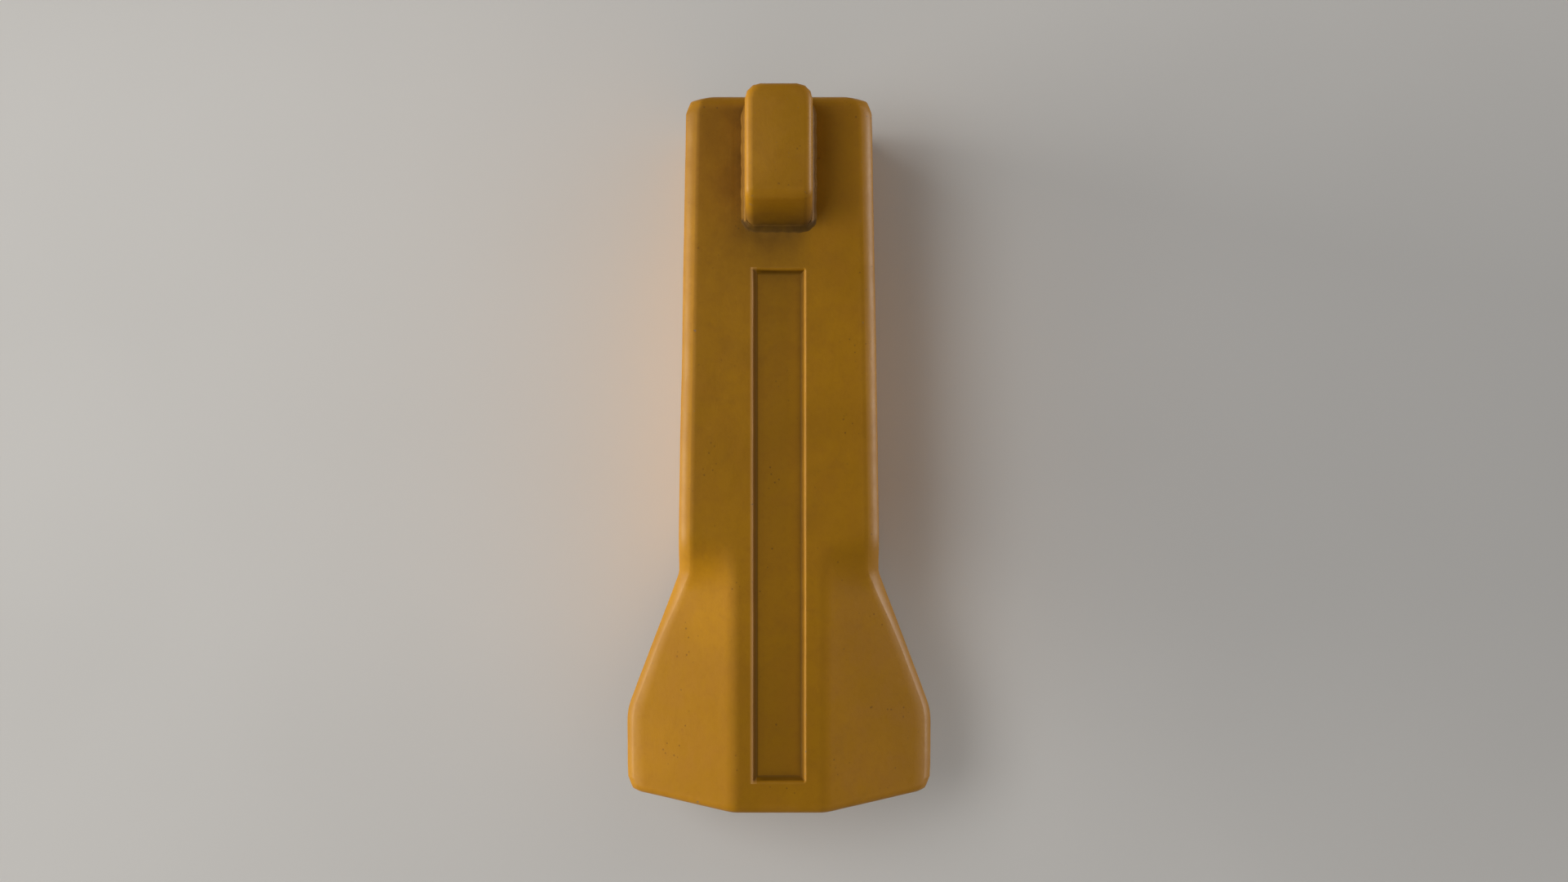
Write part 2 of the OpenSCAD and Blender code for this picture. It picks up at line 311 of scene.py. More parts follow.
def point_stations():
    q = 1.0
    s = [EDGE_R * (1 - math.cos(math.radians(a))) for a in np.linspace(0, 90, 10)[:-1]]
    s += [5.0, 5.4, 5.9, 6.6]
    s += spread(7.6, 71.2, 2.5 * q) + spread(71.2, 75.2, 0.2 * q) + spread(75.2, 182, 3 * q)
    s += spread(182, 208, 1.0 * q) + spread(208, 250, 3 * q) + spread(250, 266, 1.2 * q)
    s += spread(266, 283.6, 2 * q) + spread(283.6, 287.6, 0.2 * q) + spread(287.6, 295, 1.0 * q)
    s += [294.3, 295.0, 295.5, 296.1]
    s += [POINT_LEN - TIP_R * (1 - math.sin(math.radians(a))) for a in np.linspace(0, 90, 10)]
    return np.array(s)


def point_row(d):
    w = half_w(d) - float(np.interp(d, [0, 0.29 * REAR_R, REAR_R + 0.6], [REAR_R, 0.29 * REAR_R, 0])) - float(np.interp(POINT_LEN - d, [0, 0.8, 5.7], [3.4, 2.0, 0]))
    e = pull(d, EDGE_R) + pull(POINT_LEN - d, TIP_R)
    r = EDGE_R + (FLARE_R - EDGE_R) * float(smoothstep((d - FLARE0 + 6) / 40))
    r = min(r, 0.45 * float(top_at(w, d) - bottom_at(d) - 2 * e))
    # the long edges are struck off flat, with a small round at each end of the flat
    arc = np.radians(np.linspace(0, 90, 13))
    t = np.linspace(0, 1, 13)
    flat = 0.62
    xs = list(w - r + r * ((1 - flat) * np.cos(arc) + flat * (1 - t)))
    drop = list(0.82 * r * (1 - ((1 - flat) * np.sin(arc) + flat * t)))
    b1 = CREST / 2 + 5
    inner = list(np.linspace(w - r, b1, 9)[1:]) + list(np.linspace(b1, 13.0, 16)[1:]) \
        + list(np.linspace(13.0, 8.6, 25)[1:]) + list(np.linspace(8.6, 0, 6)[1:])
    xs += inner
    drop += [0.0] * len(inner)
    x = np.array([-v for v in xs[:-1]] + [0.0] + xs[:-1][::-1])
    dr = np.array(drop[:-1] + [0.0] + drop[:-1][::-1])
    return x, dr, e, w, r


SIDE_ROWS = 7


def build_point():
    st = point_stations()
    rings = []
    for d in st:
        x, dr, e, w, r = point_row(d)
        y = RIM - d + edge_sweep(x, d)
        zt = top_at(x, d) - e - dr - recess_depth(x, np.full_like(x, d))
        zb = bottom_at(d) + e + dr
        top = np.stack([x, y, zt], 1)
        bot = np.stack([x, y, np.full_like(x, 0) + zb], 1)
        left, right = top[0], top[-1]
        lbot, rbot = bot[0], bot[-1]
        side_r = [right + (rbot - right) * k / (SIDE_ROWS + 1) for k in range(1, SIDE_ROWS + 1)]
        side_l = [lbot + (left - lbot) * k / (SIDE_ROWS + 1) for k in range(1, SIDE_ROWS + 1)]
        rings.append(np.concatenate([top, np.array(side_r), bot[::-1], np.array(side_l)]))
    m = len(x)
    n = len(rings[0])
    pts = np.concatenate(rings)
    faces = []
    k = len(rings)
    for j in range(k - 1):
        for i in range(n):
            a, b = j * n + i, j * n + (i + 1) % n
            faces.append((a, a + n, b + n, b))

    def cap(o, flip):
        out = []
        lo = m + SIDE_ROWS  # first of the bottom row, at +x
        for i in range(1, m - 2):
            ti, tj = o + i, o + i + 1
            bi, bj = o + lo + (m - 1 - i), o + lo + (m - 1 - i - 1)
            out.append((ti, tj, bj, bi))
        # the two end strips hold the side rows too
        out.append((o + m - 2,) + tuple(o + v for v in range(m - 1, lo + 2)))
        out.append((o + 1, o + lo + m - 2) + tuple(o + v for v in range(lo + m - 1, n)) + (o,))
        return [f[::-1] for f in out] if flip else out

    faces += cap(0, False) + cap((k - 1) * n, True)
    ob = new_object("point_casting", pts * MM, faces)
    return recalc(ob)


def prism_z(name, outline, z0, z1):
    """A straight prism over a closed (x, y) outline."""
    n = len(outline)
    v = [(x * MM, y * MM, z0 * MM) for x, y in outline] + [(x * MM, y * MM, z1 * MM) for x, y in outline]
    f = [tuple(range(n)), tuple(range(2 * n - 1, n - 1, -1))]
    f += [(i, (i + 1) % n, (i + 1) % n + n, i + n) for i in range(n)]
    return recalc(new_object(name, v, f))


def lug_cutters():
    r, w = 6.3, LUG_W / 2
    out = [(-w, RIM - LUG_FOOT), (w, RIM - LUG_FOOT)]
    out += [(w - r + r * math.cos(a), RIM - r + r * math.sin(a)) for a in np.radians(np.linspace(0, 90, 11))]
    out += [(-w + r + r * math.cos(a), RIM - r + r * math.sin(a)) for a in np.radians(np.linspace(90, 180, 11))]
    return [prism_z("c_let", out, TOP - 3.0, TOP + 8)]


def lock_cutters(s):
    """Bore, pocket, channel and stop groove of one side wall; s is +1 right, -1 left."""
    wall = 39.36
    prof = [(14, 0), (14, 19, 0), (30.3, 19, 0.5), (30.3, 13, 0.3), (wall - 1.4, 13)]
    lip = [(wall - 1.4 + 1.4 * math.sin(a), 13 + 1.4 * (1 - math.cos(a))) for a in np.radians(np.linspace(0, 78, 7))]
    prof = round_profile(prof)[:-1]
    prof += lip + [(wall + 1.2, lip[-1][1] + 2.2), (wall + 1.2, 0)]
    prof = [(s * t, r) for t, r in prof]
    a = lathe("c_bore", prof, (0, POST_Y, 0), segs=128)
    b = box_mesh("c_chan", *(sorted((s * 10, s * (POST_REACH + 0.4)))), POST_Y, 6, -7.6, 7.6)
    ring = lathe("c_stop", [(s * 29, 14), (s * 29, 16.7), (s * 32, 16.7), (s * 32, 14)], (0, POST_Y, 0), segs=96)
    boolean(ring, [box_mesh("c_half", *(sorted((s * 20, s * 45))), POST_Y - 30, POST_Y + 30, -40, -2.9)])
    return [a, b, ring]


def socket_cutters():
    y1 = -NOSE_LEN - 2.4
    g = 0.6
    secs = [(nose_w(3) + g, nose_h(3) + g, 5.5, 3), (nose_w(y1 + 4) + g, nose_h(y1 + 4) + g, 4.5, y1 + 4),
            (nose_w(y1) - 3 + g, nose_h(y1) - 3 + g, 4, y1 + 0.8), (nose_w(y1) - 8 + g, nose_h(y1) - 8 + g, 3, y1)]
    a = loft_y("c_socket", secs, 8)
    lip = []
    for t in np.linspace(0, 80, 7):
        r = 2.0
        lip.append((50 + 2 * r * (1 - math.cos(math.radians(t))), 58 + 2 * r * (1 - math.cos(math.radians(t))),
                    7 + r * (1 - math.cos(math.radians(t))), RIM - r + r * math.sin(math.radians(t))))
    top = lip[-1]
    b = loft_y("c_mouth", [(46, 54, 5, -14.0), (49, 57, 6.5, -13.6), (50, 58, 7, -12.6)] + lip
               + [(top[0] + 3, top[1] + 3, top[2] + 1.5, 0.4), (top[0] + 3, top[1] + 3, top[2] + 1.5, 4)], 8)
    return [a, b]


def cast_noise(ob, amp, scale, seed, only=None):
    """Low swells of a sand-cast surface, moved along the normal."""
    me = ob.data
    n = len(me.vertices)
    co = np.empty(n * 3)
    me.vertices.foreach_get("co", co)
    co = co.reshape(-1, 3)
    no = np.empty(n * 3)
    me.vertex_normals.foreach_get("vector", no)
    no = no.reshape(-1, 3)
    off = Vector((seed * 3.1, seed * 7.7, seed * 1.3))
    val = np.array([mnoise.noise(Vector(c) * (1000.0 / scale) + off) for c in co])
    val2 = np.array([mnoise.noise(Vector(c) * (1000.0 / (scale * 0.35)) + off * 2) for c in co])
    h = (val + 0.45 * val2) * amp * MM
    if only is not None:
        h = h * only(co * 1000.0)
    co = co + no * h[:, None]
    me.vertices.foreach_set("co", co.ravel())
    me.update()


def away_from_cuts(p):
    """1 on the free surfaces of the point, 0 where the lug and its weld sit."""
    x, y, z = p[:, 0], p[:, 1], p[:, 2]
    lug = (np.abs(x) < 19) & (y > -64) & (z > 20)
    ends = np.clip((RIM - 0.6 - y) / 5, 0, 1) * np.clip((y - RIM + POINT_LEN - 0.6) / 5, 0, 1)
    return np.where(lug, 0.0, ends)


point = build_point()
cast_noise(point, 0.16, 34, 1, away_from_cuts)
cut = socket_cutters() + lock_cutters(1) + lock_cutters(-1) + lug_cutters()
boolean(point, cut)
finish_shading(point)


# ------------------------------------------------------------------ masks kept as attributes
def add_masks(ob, passes=3):
    """edge: 1 on convex edges. cavity: 1 in concave corners. Both come from the mesh's own curvature."""
    me = ob.data
    n = len(me.vertices)
    co = np.empty(n * 3)
    me.vertices.foreach_get("co", co)
    co = co.reshape(-1, 3) * 1000
    bm = bmesh.new()
    bm.from_mesh(me)
    bm.normal_update()
    no = np.array([v.normal[:] for v in bm.verts])
    bm.free()
    ne = len(me.edges)
    ed = np.empty(ne * 2, dtype=np.int64)
    me.edges.foreach_get("vertices", ed)
    ed = ed.reshape(-1, 2)
    a, b = ed[:, 0], ed[:, 1]
    dv = co[b] - co[a]
    ln = np.linalg.norm(dv, axis=1) + 1e-6
    wgt = 1.0 / np.maximum(ln, 0.15)
    ca = -np.einsum("ij,ij->i", no[a], dv) / ln
    cb = np.einsum("ij,ij->i", no[b], dv) / ln
    curv = np.zeros(n)
    tot = np.zeros(n)
    np.add.at(curv, a, ca / np.maximum(ln, 0.5) * wgt)
    np.add.at(curv, b, cb / np.maximum(ln, 0.5) * wgt)
    np.add.at(tot, a, wgt)
    np.add.at(tot, b, wgt)
    curv = curv / np.maximum(tot, 1e-9)
    for _ in range(passes):
        acc = np.zeros(n)
        cnt = np.zeros(n)
        wl = 1.0 / np.maximum(ln, 0.3)
        np.add.at(acc, a, curv[b] * wl)
        np.add.at(acc, b, curv[a] * wl)
        np.add.at(cnt, a, wl)
        np.add.at(cnt, b, wl)
        curv = 0.5 * curv + 0.5 * acc / np.maximum(cnt, 1e-9)
    edge = np.clip(curv / 0.10, 0, 1)
    cav = np.clip(-curv / 0.10, 0, 1)
    for name, val in (("edge", edge), ("cavity", cav)):
        at = me.attributes.new(name, "FLOAT", "POINT")
        at.data.foreach_set("value", val.astype(np.float32))
    return ob


def add_attr(ob, name, fn):
    me = ob.data
    n = len(me.vertices)
    co = np.empty(n * 3)
    me.vertices.foreach_get("co", co)
    co = co.reshape(-1, 3) * 1000
    at = me.attributes.new(name, "FLOAT", "POINT")
    at.data.foreach_set("value", np.asarray(fn(co), dtype=np.float32))
    return ob


def rect_dist(x, y, x0, x1, y0, y1):
    dx = np.maximum(np.maximum(x0 - x, x - x1), 0)
    dy = np.maximum(np.maximum(y0 - y, y - y1), 0)
    return np.hypot(dx, dy)


def point_painted_shade(p):
    """Painted shade round the lug's foot, in the crest recess and inside the socket, and darker rings round the lock
    bores on the side walls.
    """
    x, y, z = p[:, 0], p[:, 1], p[:, 2]
    on_top = z > 20
    g = np.zeros(len(p))
    d = rect_dist(x, y, -LUG_W / 2, LUG_W / 2, RIM - LUG_FOOT, 0)
    # painted shade in a ring round the lug's foot: weaker on the right, where the lamp's own shadow falls, a little
    # stronger on the left, fading at the rear edge and towards the front left
    halo = 0.30 * np.exp(-d / 4.0) + 0.72 * np.exp(-d / 26.0)
    halo = halo * np.where(x > 0, 1 - 0.95 * smoothstep((x - 4) / 12), 1 + 0.12 * smoothstep((-x - 4) / 12))
    halo = halo * smoothstep((RIM - 0.5 - y) / 7)
    halo = halo * (1 - 0.30 * smoothstep((RIM - 42 - y) / 14) * smoothstep((-x - 7) / 8))
    g = np.maximum(g, np.where(on_top, halo, 0))
    inside = (np.abs(x) < REC_W / 2 + 0.2) & (y < RIM - REC0 + 0.2) & (y > RIM - REC0 - REC_LEN - 0.2) & on_top
    wall = np.minimum(REC_W / 2 - REC_DRAFT - np.abs(x), np.minimum(-(y - RIM) - REC0 - 1.6, REC0 + REC_LEN - 1.6 + (y - RIM)))
    back = np.exp(-np.maximum(-(y - RIM) - REC0, 0) / 25.0)
    # painted shade along the recess walls, lighter along the left wall, and a little deeper towards the recess's rear
    # end
    g = np.where(inside, np.maximum(g, 0.0 + 0.2 * back + np.where(x < -REC_W / 2 + 3, 0.25, 0.6) * np.exp(-np.maximum(wall, 0) / 1.4)), g)
    # keep the rim itself free of painted shade
    rim = inside & (z > np.interp(np.abs(x), [0, 40], [TOP, TOP]) - 1.0)
    g = np.where(rim, 0.0, g)
    # painted shade deepening into the socket
    bore = (np.abs(x) < 24) & (np.abs(z) < 30) & (y > -170)
    g = np.where(bore, smoothstep((-y - 1.6) / 6), g)
    # darker rings round the mouth of each lock bore on the side walls
    side = np.hypot(y - POST_Y, z)
    g = np.where((np.abs(x) > 38) & (side < 22) & (y > -62), np.maximum(g, 0.7 * np.exp(-(side - 13) / 2.5)), g)
    return g


def point_recess_highlight(p):
    """A painted highlight: paler paint along the left edge of the crest recess."""
    x, y, z = p[:, 0], p[:, 1], p[:, 2]
    along = (z > 20) & (y < RIM - REC0 + 0.6) & (y > RIM - REC0 - REC_LEN - 0.6)
    u = x + REC_W / 2
    return np.where(along, 0.62 * np.exp(-((u + 0.2) / 0.5) ** 2) + 0.22 * ((u > 0.1) & (u < 1.8)), 0)


add_masks(point)
add_attr(point, "painted_shade", point_painted_shade)
add_attr(point, "recess_rim_highlight", point_recess_highlight)


# ------------------------------------------------------------------ lifting lug
def build_lug():
    z0, z1, y0 = TOP - 9.0, TOP + LUG_H, RIM
    slope = (LUG_FOOT - LUG_TOP) / LUG_H
    prof = [(y0, z0), (y0, z1), (y0 - LUG_TOP, z1), (y0 - LUG_FOOT, TOP), (y0 - LUG_FOOT - 9 * slope, z0)]
    v = [(-LUG_W / 2 * MM, y * MM, z * MM) for y, z in prof] + [(LUG_W / 2 * MM, y * MM, z * MM) for y, z in prof]
    n = len(prof)
    f = [tuple(range(n)), tuple(range(2 * n - 1, n - 1, -1))]
    f += [(i, i + n, (i + 1) % n + n, (i + 1) % n) for i in range(n)]
    ob = recalc(new_object("lug_body", v, f))
    bm = bmesh.new()
    bm.from_mesh(ob.data)

    def is_up(e, at_y, at_z=None):
        p, q = e.verts[0].co, e.verts[1].co
        same_x = abs(p.x - q.x) < 1e-6
        ys = sorted((p.y, q.y))
        return same_x and all(any(abs(v - t * MM) < 1e-6 for t in at_y) for v in ys) and abs(p.z - q.z) > 1e-4

    rear = [e for e in bm.edges if is_up(e, [y0])]
    bmesh.ops.bevel(bm, geom=rear, offset=6.3 * MM, segments=3, affect="EDGES", profile=0.5)
    front = [e for e in bm.edges if abs(e.verts[0].co.x - e.verts[1].co.x) < 1e-6 and abs(e.verts[0].co.z - e.verts[1].co.z) > 1e-4
             and min(e.verts[0].co.y, e.verts[1].co.y) < (y0 - LUG_TOP - 1) * MM]
    bmesh.ops.bevel(bm, geom=front, offset=3.7 * MM, segments=8, affect="EDGES", profile=0.5)
    top = [e for e in bm.edges if abs(e.verts[0].co.z - z1 * MM) < 1e-6 and abs(e.verts[1].co.z - z1 * MM) < 1e-6]
    bmesh.ops.bevel(bm, geom=top, offset=3.5 * MM, segments=8, affect="EDGES", profile=0.5)
    bm.to_mesh(ob.data)
    bm.free()
    # a finer skin, so that masks and swells have vertices to live on
    bm = bmesh.new()
    bm.from_mesh(ob.data)
    for _ in range(1):
        long_e = [e for e in bm.edges if e.calc_length() > 4 * MM]
        bmesh.ops.subdivide_edges(bm, edges=long_e, cuts=5, use_grid_fill=True)
    bmesh.ops.triangulate(bm, faces=[f for f in bm.faces if len(f.verts) > 4])
    bm.to_mesh(ob.data)
    bm.free()
    lip = [(LUG_W / 2 - 1.6 + 1.6 * math.sin(a), 6.5 + 1.6 * (1 - math.cos(a))) for a in np.radians(np.linspace(0, 80, 7))]
    half = lip + [(LUG_W / 2 + 1.5, lip[-1][1] + 3), (LUG_W / 2 + 1.5, 0)]
    prof = [(-t, r) for t, r in half[::-1]] + half
    eye = lathe("c_eye", prof, (0, RIM - 24, TOP + 12.5), segs=96)
    foot = box_mesh("c_foot", -30, 30, -80, 10, 20, TOP - 2.95)
    boolean(ob, [eye, foot])
    return finish_shading(ob)


lug = build_lug()
add_masks(lug)


def lug_painted_shade(p):
    z, y = p[:, 2], p[:, 1]
    # painted shade at the lug's foot, heavier down its front slope, and inside the eye
    front = np.clip((-(y - RIM) - 44) / 6, 0, 1)
    h = np.maximum(z - TOP, 0)
    g = 0.55 * np.exp(-h / 2.4)
    g = np.maximum(g, front * 1.35 * np.exp(-h / 11.0))
    eye = np.hypot(y - (RIM - 24), z - (TOP + 12.5))
    return np.maximum(g, np.where((eye < 6.7), 0.9, 0))


add_attr(lug, "painted_shade", lug_painted_shade)


# ------------------------------------------------------------------ the weld round the lug's foot
def build_weld():
    leg = 1.9
    x1, yf, yr = LUG_W / 2, RIM - LUG_FOOT, RIM - 4.6
    r = 4.0
    path = []  # centre line along the lug's foot, with its outward normal
    for y in np.linspace(yr, yf + r, 26):
        path.append((x1, y, 1, 0))
    for a in np.radians(np.linspace(0, -90, 9))[1:]:
        path.append((x1 - r + r * math.cos(a), yf + r + r * math.sin(a), math.cos(a), math.sin(a)))
    for x in np.linspace(x1 - r, -x1 + r, 15)[1:]:
        path.append((x, yf, 0, -1))
    for a in np.radians(np.linspace(-90, -180, 9))[1:]:
        path.append((-x1 + r + r * math.cos(a), yf + r + r * math.sin(a), math.cos(a), math.sin(a)))
    for y in np.linspace(yf + r, yr, 26)[1:]:
        path.append((-x1, y, -1, 0))
    verts, faces = [], []
    m = 8
    total = len(path)
    for i, (x, y, nx, ny) in enumerate(path):
        k = min(1.0, min(i, total - 1 - i) / 2.0)
        lg = leg * (0.35 + 0.65 * k) * (1 + 0.07 * math.sin(i * 1.9) + 0.05 * math.sin(i * 0.73 + 1))
        sec = [(-2.4, -0.6), (lg + 0.5, -0.35)]
        for t in np.linspace(0, 1, m - 3):
            a = math.radians(90 * t)
            # a slightly hollow fillet
            sec.append((lg * (1 - math.sin(a)) + 0.16 * math.sin(2 * a) * 0 + 0.12, lg * (1 - math.cos(a)) + 0.02))
        sec.append((-2.4, lg + 0.05))
        for (o, z) in sec:
            lean = 0.0
            if ny < -0.5:
                lean = (LUG_FOOT - LUG_TOP) / LUG_H * z * (-ny)
            verts.append(((x + nx * o) * MM, (y + ny * o + lean) * MM, (TOP + z) * MM))
    q = len(sec)
    for i in range(total - 1):
        for j in range(q):
            a, b = i * q + j, i * q + (j + 1) % q
            faces.append((a, b, b + q, a + q))
    faces.append(tuple(range(q))[::-1])
    faces.append(tuple((total - 1) * q + j for j in range(q)))
    ob = recalc(new_object("weld_fillet", verts, faces))
    return finish_shading(ob, 60)


weld = build_weld()
add_masks(weld, 1)
# painted shade on the weld fillet, heavier along its front
add_attr(weld, "painted_shade", lambda p: np.where(p[:, 1] < RIM - LUG_FOOT + 3, 1.2, 0.6))


# ------------------------------------------------------------------ nose and what is on it
def build_nose():
    secs = [(42 - 12.6, 50 - 12.6, 3.5, -0.0), (42 - 12.0, 50 - 12.0, 3.8, -0.3)]
    secs += [(nose_w(-6) - 0.5, nose_h(-6) - 0.5, 5.0, -5.8), (nose_w(-6.4), nose_h(-6.4), 5.2, -6.4)]
    for y in np.linspace(-9, -158, 50):
        secs.append((nose_w(y), nose_h(y), 5.2 - 0.6 * (-y / NOSE_LEN), y))
    y_end = -NOSE_LEN
    for a in np.radians(np.linspace(0, 90, 8)):
        r = 4.0
        secs.append((nose_w(y_end + r) - 2 * r * (1 - math.cos(a)), nose_h(y_end + r) - 2 * r * (1 - math.cos(a)),
                     max(4.6 - r * (1 - math.cos(a)), 1.4), y_end + r - r * math.sin(a)))
    ob = loft_y("nose_casting", secs, 8)
    # more points across the flats, for the cast swells
    bm = bmesh.new()
    bm.from_mesh(ob.data)
    long_e = [e for e in bm.edges if e.calc_length() > 8 * MM and abs(e.verts[0].co.y - e.verts[1].co.y) < 1e-6
              and len(e.link_faces) == 2]
    bmesh.ops.subdivide_edges(bm, edges=long_e, cuts=7, use_grid_fill=False)
    bm.to_mesh(ob.data)
    bm.free()
    recalc(ob)
    cast_noise(ob, 0.10, 22, 5, lambda p: np.clip((-p[:, 1] - 8) / 4, 0, 1))
    lip = [(20.6 - 1.0 + 1.0 * math.sin(a) - 0.7, 7.0 + 1.0 * (1 - math.cos(a))) for a in np.radians(np.linspace(0, 70, 5))]
    bore = lathe("c_x", [(-30, 0), (-30, 7.02), (30, 7.02), (30, 0)], (0, POST_Y, 0), segs=96)
    roll = lathe("c_z", [(-40, 0), (-40, 2.5), (40, 2.5), (40, 0)], (0, POST_Y, 0), axis="z", segs=48)
    bump = lathe("c_b", [(-NOSE_LEN - 6, 0), (-NOSE_LEN - 6, 8.0), (-NOSE_LEN + 4, 8.0), (-NOSE_LEN + 4, 0)], (0, 0, 0), axis="y", segs=64)
    boolean(ob, [bore, roll, bump])
    return finish_shading(ob, 35)


nose = build_nose()
add_masks(nose)
add_attr(nose, "machined", lambda p: np.clip((p[:, 1] + 6.3) / 0.6, 0, 1))

pin = lathe("cross_pin_steel", round_profile([(-27.5, 0), (-27.5, 7.0, 1.1), (27.5, 7.0, 1.1), (27.5, 0)], steps=5),
            (0, POST_Y, 0), segs=96)
boolean(pin, [lathe("c_p", [(-12, 0), (-12, 2.5), (12, 2.5), (12, 0)], (0, POST_Y, 0), axis="z", segs=48)])
finish_shading(pin)
add_masks(pin, 1)

rollpin = lathe("roll_pin_spring", round_profile([(-18, 1.5, 0.2), (-18, 2.45, 0.5), (18, 2.45, 0.5), (18, 1.5, 0.2)], steps=4),
                (0, POST_Y, 0), axis="z", segs=48)
boolean(rollpin, [box_mesh("c_s", -0.4, 0.4, POST_Y + 0.2, POST_Y + 5, -20, 20)])
finish_shading(rollpin)
add_masks(rollpin, 1)

bumper = lathe("bumper_puck", round_profile([(-161.05, 0), (-161.05, 7.9, 0.4), (-166.95, 7.9, 1.4), (-166.95, 5.0, 0.6),
                                             (-166.2, 3.6, 0.5), (-166.2, 0)], steps=5), (0, 0, 0), axis="y", segs=72)
finish_shading(bumper, 50)
add_masks(bumper, 1)


def build_seal():
    """A moulded ring with two lips, and an ear that fills each post channel's mouth."""
    n = 8
    base = round_rect(1000, 1000, 1, n)
    prof = [(0.0, -7.2), (0.0, -12.8), (0.5, -13.0), (3.0, -13.0)]
    prof += [(3.9, -12.7), (4.05, -12.1), (3.75, -11.3), (3.5, -10.6), (3.5, -9.4), (3.75, -8.7), (4.05, -7.9), (3.9, -7.3), (3.0, -7.0), (0.5, -7.0)]
    ny = []
    verts, faces = [], []
    ringpts = []
    for (o, y) in prof:
        ringpts.append([(x, y, z) for x, z in round_rect(nose_w(y) + 0.05 + 2 * o, nose_h(y) + 0.05 + 2 * o, 5.2 + o, n)])
    m = len(ringpts[0])
    for r in ringpts:
        verts += [(x * MM, y * MM, z * MM) for x, y, z in r]
    k = len(prof)
    for j in range(k):
        for i in range(m):
            a, b = j * m + i, j * m + (i + 1) % m
            c, d = ((j + 1) % k) * m + (i + 1) % m, ((j + 1) % k) * m + i
            faces.append((a, b, c, d))
    ob = recalc(new_object("seal_ring", verts, faces))
    for s in (1, -1):
        ear = box_mesh("c_ear", *(sorted((s * 23.4, s * 27.4))), -12.9, -7.1, -7.1, 7.1)
        bevel(ear, 0.7, 3, 30)
        boolean(ob, [ear], "UNION")
    return finish_shading(ob, 45)


seal = build_seal()
add_masks(seal, 1)


# ------------------------------------------------------------------ locks
def build_lock(s, name):
    prof = [(20.4, 0), (20.4, 16.6, 0.7), (30.0, 16.6, 0.7), (30.0, 12.92, 0.5), (33.5, 12.92, 0.2), (33.5, 11.3, 0.25),
            (35.5, 11.3, 0.25), (35.5, 12.92, 0.2), (38.8, 12.92, 0.6), (38.8, 9.9, 0.3), (37.2, 9.9, 0.2), (37.2, 0)]
    ob = lathe(name, [(s * t, r) for t, r in round_profile(prof, steps=4)], (0, POST_Y, 0), segs=120)
    tab = box_mesh("c_tab", *(sorted((s * 29.2, s * 31.6))), POST_Y + 14.2, POST_Y + 16.3, -2.5, 2.5)
    bevel(tab, 0.3, 2, 30)
    boolean(ob, [tab], "UNION")
    slot = []
    for k in range(33):
        a = math.radians(180 + 180 * k / 32)
        slot.append((7.4 * math.sin(a), 7.4 * math.cos(a)))
    # outline in (y, z): a half round closed towards -Y and open towards +Y
    pts = [(POST_Y - 7.4 * math.cos(t), 7.4 * math.sin(t)) for t in np.linspace(-math.pi / 2, math.pi / 2, 33)]
    pts = pts + [(POST_Y + 25, 7.4), (POST_Y + 25, -7.4)]
    xs = sorted((s * 12, s * (POST_REACH + 0.4)))
    v = [(xs[0] * MM, y * MM, z * MM) for y, z in pts] + [(xs[1] * MM, y * MM, z * MM) for y, z in pts]
    n = len(pts)
    f = [tuple(range(n)), tuple(range(2 * n - 1, n - 1, -1))] + [(i, (i + 1) % n, (i + 1) % n + n, i + n) for i in range(n)]
    c1 = recalc(new_object("c_slot", v, f))
    sq = box_mesh("c_sq", *(sorted((s * 29.4, s * 45))), POST_Y - 6.5, POST_Y + 6.5, -6.5, 6.5)
    bm = bmesh.new()
    bm.from_mesh(sq.data)
    es = [e for e in bm.edges if abs(e.verts[0].co.x - e.verts[1].co.x) > 5 * MM]
    bmesh.ops.bevel(bm, geom=es, offset=0.9 * MM, segments=4, affect="EDGES", profile=0.5)
    bm.to_mesh(sq.data)
    bm.free()
    notch = box_mesh("c_no", *(sorted((s * 37.7, s * 45))), POST_Y + 10.6, POST_Y + 20, -1.0, 1.0)
    boolean(ob, [c1, sq, notch])
    return finish_shading(ob)


def build_sleeve(s, name):
    prof = [(20.5, 16.68, 0.3), (30.2, 16.68, 0.3), (30.2, 18.95, 0.5), (20.5, 18.95, 0.5)]
    ob = lathe(name, [(s * t, r) for t, r in round_profile(prof, steps=3)], (0, POST_Y, 0), segs=120)
    boolean(ob, [box_mesh("c_g", *(sorted((s * 10, s * 40))), POST_Y, POST_Y + 30, -7.8, 7.8)])
    return finish_shading(ob)


def build_plug(s, name):
    prof = [(37.3, 0), (37.3, 9.7, 0.15), (38.5, 9.7, 0.5), (38.9, 8.2, 0.6), (38.9, 0)]
    ob = lathe(name, [(s * t, r) for t, r in round_profile(prof, steps=4)], (0, POST_Y, 0), segs=96)
    body = box_mesh("c_body", *(sorted((s * 29.8, s * 37.6))), POST_Y - 6.3, POST_Y + 6.3, -6.3, 6.3)
    bevel(body, 0.8, 3, 30)
    boolean(ob, [body], "UNION")
    slot = box_mesh("c_sl", *(sorted((s * 37.8, s * 45))), POST_Y - 5.2, POST_Y + 5.2, -1.0, 1.0)
    bevel(slot, 0.35, 2, 30)
    boolean(ob, [slot])
    return finish_shading(ob)


def build_o_ring(s, name):
    prof = [(34.5 + 0.8 * math.cos(a), 12.15 + 0.8 * math.sin(a)) for a in np.linspace(0, 2 * math.pi, 17)[:-1]]
    return lathe(name, [(s * t, r) for t, r in prof], (0, POST_Y, 0), segs=96)


locks, sleeves, plugs, orings = {}, {}, {}, {}
for s, side in ((-1, "left"), (1, "right")):
    locks[side] = build_lock(s, "lock_body_" + side)
    sleeves[side] = build_sleeve(s, "sleeve_" + side)
    plugs[side] = build_plug(s, "dust_plug_" + side)
    orings[side] = build_o_ring(s, "seal_cord_" + side)
    for o in (locks[side], sleeves[side], plugs[side], orings[side]):
        add_masks(o, 1)


